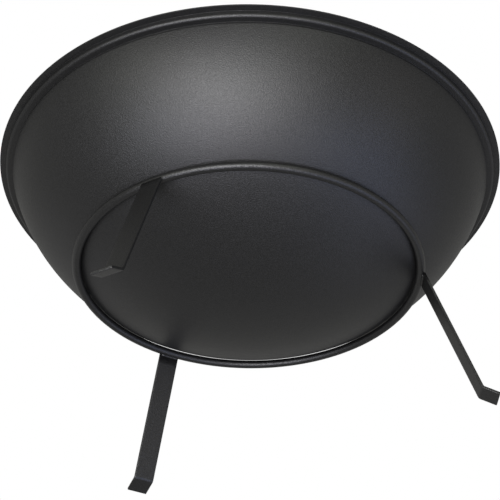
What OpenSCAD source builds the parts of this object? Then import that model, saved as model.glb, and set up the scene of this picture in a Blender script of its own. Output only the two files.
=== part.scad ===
// Round pressed-steel fire bowl that rests loose in a welded tripod stand.
// Frame: +Z up, floor at z = 0, origin on the bowl's axis.
// The first leg points along +X and the others follow every 120 degrees.

/* [Bowl] */
// Outside diameter of the rim
rim_d = 600; // [590:1:620]
// Height of the rim's top face above the floor
rim_h = 292.6; // [285:0.1:300]
// Depth of the bowl from the rim's top face to the underside of its bottom
bowl_depth = 182.3; // [178:0.1:186]
// Sheet thickness
sheet_t = 1.5; // [1.2:0.1:2]
// Outside radius of the shallow bottom dish
crown_r = 373; // [365:1:385]
// Outside radius of the tighter curve between dish and rim
knuckle_r = 228; // [224:1:232]
// Angle at which the dish turns into the tighter curve
crown_a = 28.1; // [26:0.1:30]

/* [Rim] */
// Width of the step's underside, from the flange's edge to the step's wall
flange_w = 7.6; // [7:0.1:9]
// Drop from the rim's top face to the underside of the step
step_drop = 9; // [8:0.1:10]
// Underside radius of the step's lower corner
bead_r = 3.5; // [3:0.1:3.8]
// Underside radius where the step's wall turns into the flange
flange_bend_r = 0.2; // [0.2:0.1:0.8]
// Height of the short upright neck between the wall and the step
neck_h = 2; // [1.4:0.1:2.4]
// Underside radius where the neck turns into the step
neck_bend_r = 0.2; // [0.2:0.1:0.8]
// Underside radius where the wall turns upright into the neck
neck_foot_r = 2.5; // [2.2:0.1:3]

/* [Stand] */
// Diameter of the ring, measured on the bar's centreline
ring_d = 396; // [390:1:402]
// Diameter of the round bar
bar_d = 10; // [9:0.5:12]
// Clearance between the bowl and the bar, measured square to both
seat_gap = 0.5; // [0.4:0.1:1.5]

/* [Legs] */
// Width of the flat bar
leg_w = 25; // [20:1:30]
// Thickness of the flat bar
leg_t = 3; // [2.5:0.1:3.5]
// Splay of a leg, measured from the vertical
leg_splay = 19.5; // [17:0.5:22]
// How far the leg's inner face lies outside the bar's centreline
leg_offset = 1; // [0.8:0.1:1.4]
// Length of the bent foot along its lower face
foot_l = 20.6; // [16:0.1:24]
// Slope of the foot below the horizontal
foot_slope = 24.4; // [20:0.1:30]
// Radius inside the foot's bend
foot_bend_r = 3; // [2:0.5:5]

/* [Welds] */
// Throat radius of the fillet weld that joins a leg to the ring
weld_r = 2.2; // [1.5:0.1:2.6]
// Length of a weld
weld_l = 22; // [16:1:24]

/* [Hidden] */
leg_n = 3;                         // legs, evenly spaced
$fn = 192;

coat = [0.115, 0.115, 0.122];      // satin black powder coat
coat_bar = [0.135, 0.135, 0.145];
coat_weld = [0.16, 0.16, 0.165];

// --- Bowl section, in (radius, height) ---
R = rim_d / 2;
z_bot = rim_h - bowl_depth;
crown_c = [0, z_bot + crown_r];
k_off = crown_r - knuckle_r;
K = crown_c + k_off * [sin(crown_a), -cos(crown_a)];
ledge_z = rim_h - step_drop;                                         // underside of the step
// slope at which the wall turns up into the neck
wall_a = acos((K[1] - (ledge_z - neck_h)) / (knuckle_r - neck_foot_r));
B0 = K + (knuckle_r - neck_foot_r) * [sin(wall_a), -cos(wall_a)];    // wall to neck
neck_r = B0[0] + neck_foot_r;                                        // outside of the neck
B1 = [neck_r + neck_bend_r, ledge_z - neck_bend_r];                  // neck to step
step_r = R - flange_w;                                               // outside of the step's wall
B2 = [step_r - bead_r, ledge_z + bead_r];                            // step to its wall
B3 = [step_r + flange_bend_r, rim_h - sheet_t - flange_bend_r];      // step's wall to flange

// --- Stand ---
bar_r = bar_d / 2;
ring_r = ring_d / 2;
seat_r = knuckle_r + bar_r + seat_gap;
ring_z = K[1] - sqrt(seat_r * seat_r - (ring_r - K[0]) * (ring_r - K[0]));
// leg: unit vectors down the leg, along the foot, and their outward normals
d1 = [sin(leg_splay), -cos(leg_splay)];
n1 = [cos(leg_splay), sin(leg_splay)];
d2 = [cos(foot_slope), -sin(foot_slope)];
n2 = [sin(foot_slope), cos(foot_slope)];
// the lower face's corner stands foot_l * sin(foot_slope) above the floor
top_p = [ring_r, ring_z] + leg_offset * n1;
leg_l = (top_p[1] - foot_l * sin(foot_slope)) / cos(leg_splay);
bend_p = top_p + leg_l * d1;
turn = 90 - leg_splay - foot_slope;
back = (foot_bend_r + leg_t) * tan(turn / 2);
bend_c = bend_p - back * d1 + (foot_bend_r + leg_t) * n1;
// the leg's top end is cut this far down from the bar's centre, inside the bar
leg_top = 2.2;

// Points of an arc about c, radius r. Slope 0 is straight below c, 90 is
// straight out from it. The first point is left out: it ends the run before.
function arc(c, r, a0, a1, n) =
    [for (i = [1:n]) let (a = a0 + (a1 - a0) * i / n) c + r * [sin(a), -cos(a)]];

// The sheet's section: along the underside from the axis to the flange's
// edge, then back along the top face.
module bowl_section()
    polygon(concat(
        [[0, z_bot]],
        arc(crown_c, crown_r, 0, crown_a, 16),
        arc(K, knuckle_r, crown_a, wall_a, 24),
        arc(B0, neck_foot_r, wall_a, 90, 4),
        [B1 - [neck_bend_r, 0]],
        arc(B1, neck_bend_r, 270, 180, 4),
        [B2 - [0, bead_r]],
        arc(B2, bead_r, 0, 90, 6),
        [B3 - [flange_bend_r, 0]],
        arc(B3, flange_bend_r, 270, 180, 4),
        [[R, rim_h - sheet_t], [R, rim_h], B3 + [0, flange_bend_r + sheet_t]],
        arc(B3, flange_bend_r + sheet_t, 180, 270, 6),
        [B2 + [bead_r - sheet_t, 0]],
        arc(B2, bead_r - sheet_t, 90, 0, 4),
        [B1 + [0, neck_bend_r + sheet_t]],
        arc(B1, neck_bend_r + sheet_t, 180, 270, 6),
        [B0 + [neck_foot_r - sheet_t, 0]],
        arc(B0, neck_foot_r - sheet_t, 90, wall_a, 4),
        arc(K, knuckle_r - sheet_t, wall_a, crown_a, 24),
        arc(crown_c, crown_r - sheet_t, crown_a, 0, 16)));

module bowl()
    color(coat) rotate_extrude() bowl_section();

module ring_bar(r)
    translate([0, 0, ring_z]) rotate_extrude() translate([ring_r, 0]) circle(r = r);

module base_ring()
    color(coat_bar) ring_bar(bar_r);

// Leg's outline in (radius, height): down the lower face to the foot's end,
// then back up the outer face.
module leg_section()
    polygon(concat(
        [top_p + leg_top * d1, bend_p - back * d1],
        arc(bend_c, foot_bend_r + leg_t, leg_splay - 90, -foot_slope, 8),
        [bend_p + foot_l * d2, bend_p + foot_l * d2 + leg_t * n2,
         bend_c - foot_bend_r * n2],
        arc(bend_c, foot_bend_r, -foot_slope, leg_splay - 90, 8),
        [top_p + leg_top * d1 + leg_t * n1]));

module leg_solid()
    rotate([90, 0, 0]) translate([0, 0, -leg_w / 2])
        linear_extrude(height = leg_w) leg_section();

module leg(i)
    color(coat) difference() {
        rotate([0, 0, i * 360 / leg_n]) leg_solid();
        ring_bar(bar_r);
    }

// Fillet weld in the corner between the leg's inner face and the bar
module weld(i) {
    a = top_p + sqrt(bar_r * bar_r - leg_offset * leg_offset) * d1;
    color(coat_weld) difference() {
        rotate([0, 0, i * 360 / leg_n]) translate([a[0], 0, a[1]])
            rotate([90, 0, 0]) cylinder(r = weld_r, h = weld_l, center = true);
        ring_bar(bar_r);
        rotate([0, 0, i * 360 / leg_n]) translate([top_p[0], 0, top_p[1]])
            rotate([0, -leg_splay, 0]) translate([0, -leg_w, -60])
                cube([20, 2 * leg_w, 80]);
    }
}

module leg_right() { leg(0); }
module leg_rear_left() { leg(1); }
module leg_front_left() { leg(2); }
module weld_right() { weld(0); }
module weld_rear_left() { weld(1); }
module weld_front_left() { weld(2); }

bowl();
base_ring();
leg_right();
leg_rear_left();
leg_front_left();
weld_right();
weld_rear_left();
weld_front_left();
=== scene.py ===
import math

import bpy
from mathutils import Matrix, Vector


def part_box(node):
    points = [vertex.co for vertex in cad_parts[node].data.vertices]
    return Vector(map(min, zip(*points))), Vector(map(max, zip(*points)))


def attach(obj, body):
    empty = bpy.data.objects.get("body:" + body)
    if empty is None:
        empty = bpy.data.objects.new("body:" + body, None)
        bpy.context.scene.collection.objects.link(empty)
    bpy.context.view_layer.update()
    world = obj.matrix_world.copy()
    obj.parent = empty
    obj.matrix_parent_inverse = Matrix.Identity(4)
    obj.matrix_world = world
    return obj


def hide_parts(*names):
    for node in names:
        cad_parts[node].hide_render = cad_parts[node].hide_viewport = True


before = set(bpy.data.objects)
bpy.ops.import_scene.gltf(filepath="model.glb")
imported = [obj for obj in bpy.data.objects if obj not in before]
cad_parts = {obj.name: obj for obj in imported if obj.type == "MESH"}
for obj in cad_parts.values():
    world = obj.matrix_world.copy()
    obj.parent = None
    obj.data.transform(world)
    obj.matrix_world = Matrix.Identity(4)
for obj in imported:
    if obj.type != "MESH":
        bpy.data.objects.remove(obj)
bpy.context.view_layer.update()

scene = bpy.context.scene
MM = 0.001

# ------------------------------------------------------------------ sizes, mm
# The same figures as the CAD design.
R = 300.0
RIM_H = 292.6
DEPTH = 182.3
T = 1.5
CROWN_R, KNUCKLE_R, CROWN_A = 373.0, 228.0, math.radians(28.1)
FLANGE_W, STEP_DROP, BEAD_R, FLANGE_BEND_R = 7.6, 9.0, 3.5, 0.2
NECK_H, NECK_BEND_R, NECK_FOOT_R = 2.0, 0.2, 2.5
BAR_R, RING_R, SEAT_GAP = 5.0, 198.0, 0.5
LEG_W, LEG_T, SPLAY, LEG_OFF = 25.0, 3.0, math.radians(19.5), 1.0
FOOT_L, FOOT_SLOPE, FOOT_BEND_R = 20.6, math.radians(24.4), 3.0
WELD_R, WELD_L = 2.2, 22.0


def at(a):
    """Unit vector at slope a: 0 is straight down, 90 degrees straight out."""
    return (math.sin(a), -math.cos(a))


def add(p, q, k=1.0):
    return (p[0] + k * q[0], p[1] + k * q[1])


CROWN_C = (0.0, RIM_H - DEPTH + CROWN_R)
K = add(CROWN_C, at(CROWN_A), CROWN_R - KNUCKLE_R)
LEDGE_Z = RIM_H - STEP_DROP
WALL_A = math.acos((K[1] - (LEDGE_Z - NECK_H)) / (KNUCKLE_R - NECK_FOOT_R))
B0 = add(K, at(WALL_A), KNUCKLE_R - NECK_FOOT_R)
B1 = (B0[0] + NECK_FOOT_R + NECK_BEND_R, LEDGE_Z - NECK_BEND_R)
STEP_R = R - FLANGE_W
B2 = (STEP_R - BEAD_R, LEDGE_Z + BEAD_R)
B3 = (STEP_R + FLANGE_BEND_R, RIM_H - T - FLANGE_BEND_R)
SEAT_R = KNUCKLE_R + BAR_R + SEAT_GAP
RING_Z = K[1] - math.sqrt(SEAT_R ** 2 - (RING_R - K[0]) ** 2)
D1 = (math.sin(SPLAY), -math.cos(SPLAY))
N1 = (math.cos(SPLAY), math.sin(SPLAY))
D2 = (math.cos(FOOT_SLOPE), -math.sin(FOOT_SLOPE))
N2 = (math.sin(FOOT_SLOPE), math.cos(FOOT_SLOPE))
TOP_P = add((RING_R, RING_Z), N1, LEG_OFF)
LEG_L = (TOP_P[1] - FOOT_L * math.sin(FOOT_SLOPE)) / math.cos(SPLAY)
BEND_P = add(TOP_P, D1, LEG_L)
TURN = math.pi / 2 - SPLAY - FOOT_SLOPE
BACK = (FOOT_BEND_R + LEG_T) * math.tan(TURN / 2)
BEND_C = add(add(BEND_P, D1, -BACK), N1, FOOT_BEND_R + LEG_T)


def arc(c, r, a0, a1, n, first=False):
    return [add(c, at(a0 + (a1 - a0) * i / n), r) for i in range(0 if first else 1, n + 1)]


# ------------------------------------------------------------------ mesh help
def mesh_object(name, verts, faces, smooth=True):
    me = bpy.data.meshes.new(name)
    me.from_pydata([(x * MM, y * MM, z * MM) for x, y, z in verts], [], faces)
    me.validate()
    me.update()
    for p in me.polygons:
        p.use_smooth = smooth
    ob = bpy.data.objects.new(name, me)
    scene.collection.objects.link(ob)
    return ob


def lathe(name, profile, seg):
    """Closed surface of revolution of a profile that starts and ends on the
    axis. The two ends are single points, closed with a ring of triangles."""
    verts, faces = [], []
    inner = profile[1:-1]
    for r, z in inner:
        for k in range(seg):
            a = 2 * math.pi * k / seg
            verts.append((r * math.cos(a), r * math.sin(a), z))
    n = len(inner)
    for i in range(n - 1):
        for k in range(seg):
            j = (k + 1) % seg
            faces.append((i * seg + k, i * seg + j, (i + 1) * seg + j, (i + 1) * seg + k))
    b = len(verts)
    verts.append((0, 0, profile[0][1]))
    verts.append((0, 0, profile[-1][1]))
    for k in range(seg):
        j = (k + 1) % seg
        faces.append((b, j, k))
        faces.append((b + 1, (n - 1) * seg + k, (n - 1) * seg + j))
    return mesh_object(name, verts, faces)


# ------------------------------------------------------------------ bowl
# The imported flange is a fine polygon. Its narrowest reach keeps this rounder
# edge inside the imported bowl's box.
EDGE_R = min(R, min(abs(v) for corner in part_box("bowl") for v in corner[:2]) / MM)


def bowl_profile():
    under = [(0.0, RIM_H - DEPTH)]
    under += arc(CROWN_C, CROWN_R, 0.0, CROWN_A, 34)
    under += arc(K, KNUCKLE_R, CROWN_A, WALL_A, 40)
    under += arc(B0, NECK_FOOT_R, WALL_A, math.pi / 2, 6)
    under += [add(B1, (-NECK_BEND_R, 0))]
    under += arc(B1, NECK_BEND_R, 1.5 * math.pi, math.pi, 6)
    under += [add(B2, (0, -BEAD_R))]
    under += arc(B2, BEAD_R, 0, math.pi / 2, 10)
    under += [add(B3, (-FLANGE_BEND_R, 0))]
    under += arc(B3, FLANGE_BEND_R, 1.5 * math.pi, math.pi, 6)
    # sheared edge of the flange, with both corners broken by the coating
    e = 0.25
    edge = [(EDGE_R - e, RIM_H - T)]
    edge += arc((EDGE_R - e, RIM_H - T + e), e, 0, math.pi / 2, 4)
    edge += arc((EDGE_R - e, RIM_H - e), e, math.pi / 2, math.pi, 4, first=True)
    top = [add(B3, (0, FLANGE_BEND_R + T))]
    top += arc(B3, FLANGE_BEND_R + T, math.pi, 1.5 * math.pi, 9)
    top += [add(B2, (BEAD_R - T, 0))]
    top += arc(B2, BEAD_R - T, math.pi / 2, 0, 7)
    top += [add(B1, (0, NECK_BEND_R + T))]
    top += arc(B1, NECK_BEND_R + T, math.pi, 1.5 * math.pi, 9)
    top += [add(B0, (NECK_FOOT_R - T, 0))]
    top += arc(B0, NECK_FOOT_R - T, math.pi / 2, WALL_A, 5)
    top += arc(K, KNUCKLE_R - T, WALL_A, CROWN_A, 40)
    top += arc(CROWN_C, CROWN_R - T, CROWN_A, 0.0, 34)
    return under + edge + top


bowl = lathe("bowl_shell", bowl_profile(), 384)

# ------------------------------------------------------------------ ring
def ring_mesh(name, seg=320, sides=28):
    verts, faces = [], []
    for k in range(seg):
        a = 2 * math.pi * k / seg
        for s in range(sides):
            b = 2 * math.pi * s / sides
            r = RING_R + BAR_R * math.cos(b)
            verts.append((r * math.cos(a), r * math.sin(a), RING_Z + BAR_R * math.sin(b)))
    for k in range(seg):
        k2 = (k + 1) % seg
        for s in range(sides):
            s2 = (s + 1) % sides
            faces.append((k * sides + s, k2 * sides + s, k2 * sides + s2, k * sides + s2))
    return mesh_object(name, verts, faces)


ring = ring_mesh("ring_bar")

# ------------------------------------------------------------------ legs
def leg_stations():
    """(point on the lower face, direction, outward normal) down the leg."""
    st = []
    top = 3.4                                  # the cut end sits just inside the bar
    for i in range(13):
        s = top + (LEG_L - BACK - top) * i / 12
        st.append((add(TOP_P, D1, s), D1, N1))
    n = 14
    rho = FOOT_BEND_R + LEG_T
    for i in range(1, n + 1):
        a = (SPLAY - math.pi / 2) + (math.pi / 2 - SPLAY - FOOT_SLOPE) * i / n
        out = at(a)                            # from the bend's centre to the lower face
        st.append((add(BEND_C, out, rho), (-out[1], out[0]), (-out[0], -out[1])))
    for i in range(1, 7):
        s = BACK + (FOOT_L - BACK) * i / 6
        st.append((add(BEND_P, D2, s), D2, N2))
    return st


def cross_section(w, t, c):
    """Rounded rectangle, counter-clockwise: x across the bar, y from the lower
    face outward through its thickness."""
    pts = []
    for cx, cy, a0 in ((w / 2 - c, c, -90), (w / 2 - c, t - c, 0),
                       (-w / 2 + c, t - c, 90), (-w / 2 + c, c, 180)):
        for i in range(5):
            a = math.radians(a0 + 90 * i / 4)
            pts.append((cx + c * math.cos(a), cy + c * math.sin(a)))
    # a few points across the wide faces keep the surface's grid even
    out = []
    for i, p in enumerate(pts):
        out.append(p)
        q = pts[(i + 1) % len(pts)]
        if abs(p[0] - q[0]) > w / 2:
            for k in range(1, 6):
                out.append((p[0] + (q[0] - p[0]) * k / 6, p[1] + (q[1] - p[1]) * k / 6))
    return out


def leg_mesh(name, azimuth):
    ca, sa = math.cos(azimuth), math.sin(azimuth)
    st = leg_stations()
    c = 0.55
    verts, faces = [], []
    rings = []

    def put(p, nrm, section):
        ids = []
        for x, y in section:
            r, z = p[0] + nrm[0] * y, p[1] + nrm[1] * y
            ids.append(len(verts))
            verts.append((r * ca - x * sa, r * sa + x * ca, z))
        rings.append(ids)

    full = cross_section(LEG_W, LEG_T, c)

    def shrunk(k):
        # inset of the whole outline by k, for the rounded cut end
        return [(x * (1 - 2 * k / LEG_W), LEG_T / 2 + (y - LEG_T / 2) * (1 - 2 * k / LEG_T))
                for x, y in full]

    for i, (p, d, nrm) in enumerate(st):
        if i == len(st) - 1:
            # rounded corners at the foot's end, in plan and in section
            e = 0.55
            back = add(p, d, -e)
            put(back, nrm, full)
            for j in range(1, 5):
                a = math.pi / 2 * j / 4
                put(add(back, d, e * math.sin(a)), nrm, shrunk(e * (1 - math.cos(a))))
        else:
            put(p, nrm, full)
    m = len(full)
    for i in range(len(rings) - 1):
        for k in range(m):
            j = (k + 1) % m
            faces.append((rings[i][k], rings[i + 1][k], rings[i + 1][j], rings[i][j]))
    faces.append(tuple(rings[0]))
    faces.append(tuple(reversed(rings[-1])))
    ob = mesh_object(name, verts, faces)
    return ob


def weld_mesh(name, azimuth):
    """A short run of overlapping weld ripples in the corner between the leg's
    inner face and the bar. It follows the bar's curve."""
    ca, sa = math.cos(azimuth), math.sin(azimuth)
    half = WELD_L / 2
    n = 66
    sides = 14
    # corner point, and the two directions that the bead leans on
    drop = math.sqrt(BAR_R ** 2 - LEG_OFF ** 2)
    cr, cz = add(TOP_P, D1, drop)
    verts, faces = [], []
    for i in range(n + 1):
        s = -half + WELD_L * i / n
        end = min(1.0, (half - abs(s)) / 2.6)
        swell = math.sqrt(max(0.0, 1 - (1 - end) ** 2))
        ripple = 0.13 * abs(math.sin(math.pi * (s + half) / 1.35)) + 0.05 * math.sin(s * 1.7)
        rad = max(0.05, (WELD_R - 0.32 + ripple) * (0.18 + 0.82 * swell))
        bow = s * s / (2 * RING_R)
        for k in range(sides):
            a = 2 * math.pi * k / sides
            r = cr - bow + rad * math.cos(a)
            z = cz + rad * math.sin(a)
            x = s + 0.25 * rad * math.cos(a)   # the ripples lean along the run
            verts.append((r * ca - x * sa, r * sa + x * ca, z))
    for i in range(n):
        for k in range(sides):
            j = (k + 1) % sides
            faces.append((i * sides + k, i * sides + j, (i + 1) * sides + j, (i + 1) * sides + k))
    faces.append(tuple(reversed(range(sides))))
    faces.append(tuple(range(n * sides, (n + 1) * sides)))
    return mesh_object(name, verts, faces)


LEGS = (("right", 0.0), ("rear_left", 2 * math.pi / 3), ("front_left", 4 * math.pi / 3))
legs = [(n, leg_mesh("leg_bar_" + n, a)) for n, a in LEGS]
welds = [(n, weld_mesh("weld_bead_" + n, a)) for n, a in LEGS]


# ------------------------------------------------------------------ materials
def powder_coat(name, base, rough, grain, glint, fleck):
    """Satin black powder coat: a fine orange-peel skin, small changes of tone
    and gloss across the surface, and specks of texture that catch the light."""
    mat = bpy.data.materials.new(name)
    mat.use_nodes = True
    nt = mat.node_tree
    nt.nodes.clear()
    N, L = nt.nodes.new, nt.links.new
    out = N("ShaderNodeOutputMaterial")
    bsdf = N("ShaderNodeBsdfPrincipled")
    L(bsdf.outputs["BSDF"], out.inputs["Surface"])
    tex = N("ShaderNodeTexCoord")

    # slow drift of tone over the surface
    drift = N("ShaderNodeTexNoise")
    drift.inputs["Scale"].default_value = 7.0
    drift.inputs["Detail"].default_value = 3.0
    L(tex.outputs["Object"], drift.inputs["Vector"])
    # fine grain of the coating
    fine = N("ShaderNodeTexNoise")
    fine.inputs["Scale"].default_value = grain
    fine.inputs["Detail"].default_value = 1.0
    L(tex.outputs["Object"], fine.inputs["Vector"])
    peel = N("ShaderNodeTexNoise")
    peel.inputs["Scale"].default_value = grain * 0.45
    peel.inputs["Detail"].default_value = 1.0
    L(tex.outputs["Object"], peel.inputs["Vector"])

    # grains of the texture, lighter or darker than their neighbours
    speck = N("ShaderNodeTexNoise")
    speck.inputs["Scale"].default_value = grain * 1.1
    speck.inputs["Detail"].default_value = 0.0
    L(tex.outputs["Object"], speck.inputs["Vector"])

    ramp = N("ShaderNodeValToRGB")
    ramp.color_ramp.elements[0].position = 0.36
    ramp.color_ramp.elements[0].color = (*(c * (2.0 - fleck) for c in base), 1)
    ramp.color_ramp.elements[1].position = 0.66
    ramp.color_ramp.elements[1].color = (*(c * fleck for c in base), 1)
    mix = N("ShaderNodeMath")
    mix.operation = "MULTIPLY_ADD"
    L(speck.outputs["Fac"], mix.inputs[0])
    mix.inputs[1].default_value = 0.85
    half = N("ShaderNodeMath")
    half.operation = "MULTIPLY"
    L(drift.outputs["Fac"], half.inputs[0])
    half.inputs[1].default_value = 0.15
    L(half.outputs[0], mix.inputs[2])
    L(mix.outputs[0], ramp.inputs["Fac"])
    L(ramp.outputs["Color"], bsdf.inputs["Base Color"])

    # gloss: a slow drift, and grains that are a little glossier or duller
    r = N("ShaderNodeMapRange")
    r.inputs["From Min"].default_value = 0.3
    r.inputs["From Max"].default_value = 0.7
    r.inputs["To Min"].default_value = rough - 0.02
    r.inputs["To Max"].default_value = rough + 0.02
    L(drift.outputs["Fac"], r.inputs["Value"])
    g = N("ShaderNodeMapRange")
    g.inputs["From Min"].default_value = 0.3
    g.inputs["From Max"].default_value = 0.7
    g.inputs["To Min"].default_value = -glint
    g.inputs["To Max"].default_value = glint
    L(speck.outputs["Fac"], g.inputs["Value"])
    gloss = N("ShaderNodeMath")
    gloss.operation = "ADD"
    L(r.outputs["Result"], gloss.inputs[0])
    L(g.outputs["Result"], gloss.inputs[1])
    L(gloss.outputs[0], bsdf.inputs["Roughness"])

    b1 = N("ShaderNodeBump")
    b1.inputs["Strength"].default_value = 0.5
    b1.inputs["Distance"].default_value = 0.00008
    L(peel.outputs["Fac"], b1.inputs["Height"])
    b2 = N("ShaderNodeBump")
    b2.inputs["Strength"].default_value = 1.0
    b2.inputs["Distance"].default_value = 0.00026
    L(fine.outputs["Fac"], b2.inputs["Height"])
    L(b1.outputs["Normal"], b2.inputs["Normal"])
    L(b2.outputs["Normal"], bsdf.inputs["Normal"])
    bsdf.inputs["Specular IOR Level"].default_value = 0.60

    # a nearly black base with some metallic mirrors less, so this input makes
    # grains that shine a little less than the skin around them
    pigment = N("ShaderNodeMapRange")
    pigment.inputs["From Min"].default_value = 0.32
    pigment.inputs["From Max"].default_value = 0.68
    pigment.inputs["To Min"].default_value = 0.0
    pigment.inputs["To Max"].default_value = 0.3
    L(fine.outputs["Fac"], pigment.inputs["Value"])
    L(pigment.outputs["Result"], bsdf.inputs["Metallic"])
    return mat


m_bowl = powder_coat("powder_coat_bowl", (0.0045, 0.0045, 0.0046), 0.44, 860.0, 0.05, 1.3)
m_bar = powder_coat("powder_coat_bar", (0.0048, 0.0048, 0.0049), 0.38, 860.0, 0.04, 1.3)
m_weld = powder_coat("powder_coat_weld", (0.005, 0.005, 0.0051), 0.40, 1000.0, 0.04, 1.3)


def dress(ob, mat, body, node):
    ob.data.materials.append(mat)
    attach(ob, body)
    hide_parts(node)


dress(bowl, m_bowl, "bowl", "bowl")
dress(ring, m_bar, "stand", "base_ring")
for n, ob in legs:
    dress(ob, m_bar, "stand", "leg_" + n)
for n, ob in welds:
    dress(ob, m_weld, "stand", "weld_" + n)

# ------------------------------------------------------------------ studio
# A pale floor under the feet. It is one-sided, because the main view looks up
# from below it, and it throws no shadow on the underside of the object.
fs = 20.0
floor = bpy.data.meshes.new("floor")
floor.from_pydata([(-fs, -fs, 0), (fs, -fs, 0), (fs, fs, 0), (-fs, fs, 0)], [], [(0, 1, 2, 3)])
floor_ob = bpy.data.objects.new("floor", floor)
floor_ob.location.z = -0.0004
scene.collection.objects.link(floor_ob)
floor_ob.visible_shadow = False
floor_ob.visible_diffuse = False
floor_ob.visible_glossy = False
fm = bpy.data.materials.new("studio_floor")
fm.use_nodes = True
nt = fm.node_tree
nt.nodes.clear()
o = nt.nodes.new("ShaderNodeOutputMaterial")
d = nt.nodes.new("ShaderNodeBsdfDiffuse")
d.inputs["Color"].default_value = (0.6, 0.6, 0.605, 1)
t = nt.nodes.new("ShaderNodeBsdfTransparent")
g = nt.nodes.new("ShaderNodeNewGeometry")
mx = nt.nodes.new("ShaderNodeMixShader")
nt.links.new(g.outputs["Backfacing"], mx.inputs["Fac"])
nt.links.new(d.outputs["BSDF"], mx.inputs[1])
nt.links.new(t.outputs["BSDF"], mx.inputs[2])
nt.links.new(mx.outputs["Shader"], o.inputs["Surface"])
floor.materials.append(fm)

world = bpy.data.worlds.new("studio")
scene.world = world
world.use_nodes = True
wt = world.node_tree
wt.nodes.clear()
wo = wt.nodes.new("ShaderNodeOutputWorld")
seen = wt.nodes.new("ShaderNodeBackground")
seen.inputs["Color"].default_value = (1, 1, 1, 1)
seen.inputs["Strength"].default_value = 1.0
lit = wt.nodes.new("ShaderNodeBackground")
lit.inputs["Color"].default_value = (1.0, 0.995, 0.955, 1)
lit.inputs["Strength"].default_value = 0.334
path = wt.nodes.new("ShaderNodeLightPath")
wm = wt.nodes.new("ShaderNodeMixShader")
wt.links.new(path.outputs["Is Camera Ray"], wm.inputs["Fac"])
wt.links.new(lit.outputs["Background"], wm.inputs[1])
wt.links.new(seen.outputs["Background"], wm.inputs[2])
wt.links.new(wm.outputs["Shader"], wo.inputs["Surface"])
scene.view_settings.view_transform = "Standard"
scene.view_settings.look = "None"


def area(name, loc, target, size, power, color=(1, 1, 1)):
    li = bpy.data.lights.new(name, "AREA")
    li.shape = "DISK"
    li.size = size
    li.energy = power
    li.color = color
    ob = bpy.data.objects.new(name, li)
    ob.location = loc
    ob.rotation_mode = "QUATERNION"
    ob.rotation_quaternion = (Vector(target) - Vector(loc)).to_track_quat("-Z", "Y")
    scene.collection.objects.link(ob)
    return ob


# ------------------------------------------------------------------ camera
# In units of the bowl's radius, from the middle of the rim's top face.
YAW = math.radians(0.53)
CAM_D, CAM_H = 4.1016, 3.3024
PAN, TILT, ROLL = math.radians(0.065), math.radians(36.068), math.radians(0.720)
fwd = Vector((math.sin(PAN) * math.cos(TILT), math.cos(PAN) * math.cos(TILT), math.sin(TILT)))
rgt = Vector((math.cos(PAN), -math.sin(PAN), 0))
up = rgt.cross(fwd)
r2 = math.cos(ROLL) * rgt + math.sin(ROLL) * up
u2 = -math.sin(ROLL) * rgt + math.cos(ROLL) * up
turn = Matrix.Rotation(YAW, 3, "Z")
r2, u2, fwd = turn @ r2, turn @ u2, turn @ fwd
loc = turn @ Vector((0, -CAM_D * R * MM, 0)) + Vector((0, 0, (RIM_H - CAM_H * R) * MM))
cam = bpy.data.cameras.new("camera")
cam.sensor_fit = "HORIZONTAL"
cam.sensor_width = 36.0
cam.lens = 1298.5 / 500 * 36.0
cam.clip_start, cam.clip_end = 0.05, 50
cam_ob = bpy.data.objects.new("camera", cam)
m = Matrix(((r2.x, u2.x, -fwd.x), (r2.y, u2.y, -fwd.y), (r2.z, u2.z, -fwd.z))).to_4x4()
m.translation = loc
cam_ob.matrix_world = m
scene.collection.objects.link(cam_ob)
scene.camera = cam_ob


def around(az, el, dist):
    """A place seen from the bowl's middle: az 0 is the camera's side (-Y) and
    grows to the right, el is up from the horizontal. Degrees."""
    a, e = math.radians(az), math.radians(el)
    return (math.sin(a) * math.cos(e) * dist, -math.cos(a) * math.cos(e) * dist,
            0.17 + math.sin(e) * dist)


MID = (0.0, 0.0, 0.17)
# A broad soft key, low in front and a little to the left: overlapping discs,
# strongest in the middle. Then a cool fill from low on the right with a trace
# of warm light above it, a weak light over the camera and one from behind.
RIG = (
    ("key_1", -5, -36, 1.2, 40.2, (0.98, 0.96, 1.00)),
    ("key_2", -25, -20, 1.2, 36.4, (1.00, 0.98, 0.99)),
    ("key_3", -5, -20, 1.2, 26.1, (0.97, 1.00, 0.98)),
    ("key_4", -45, -36, 1.2, 24.2, (0.88, 0.91, 1.00)),
    ("key_5", -25, -52, 1.2, 22.3, (0.88, 0.86, 1.00)),
    ("key_6", 15, -20, 1.2, 12.8, (1.00, 0.96, 0.93)),
    ("key_7", 35, -52, 1.2, 13.4, (0.78, 0.81, 1.00)),
    ("key_8", -45, -4, 1.2, 10.7, (0.98, 1.00, 0.88)),
    ("fill_1", 70, -40, 2.0, 15.1, (0.50, 0.61, 1.00)),
    ("fill_2", 110, -40, 2.0, 8.4, (0.69, 0.73, 1.00)),
    ("fill_3", 62, -12, 2.0, 5.8, (1.00, 0.95, 0.84)),
    ("over", 20, 20, 2.0, 11.3, (0.96, 1.00, 0.87)),
    ("back", -135, -12, 2.0, 1.4, (0.93, 0.93, 1.00)),
)
for n, az, el, disc, watts, tint in RIG:
    area(n, around(az, el, 3.2), MID, disc, watts, tint)
# high soft light that shapes the inside of the bowl in the upper views
area("top", around(150, 72, 5.5), MID, 4.0, 330.0)
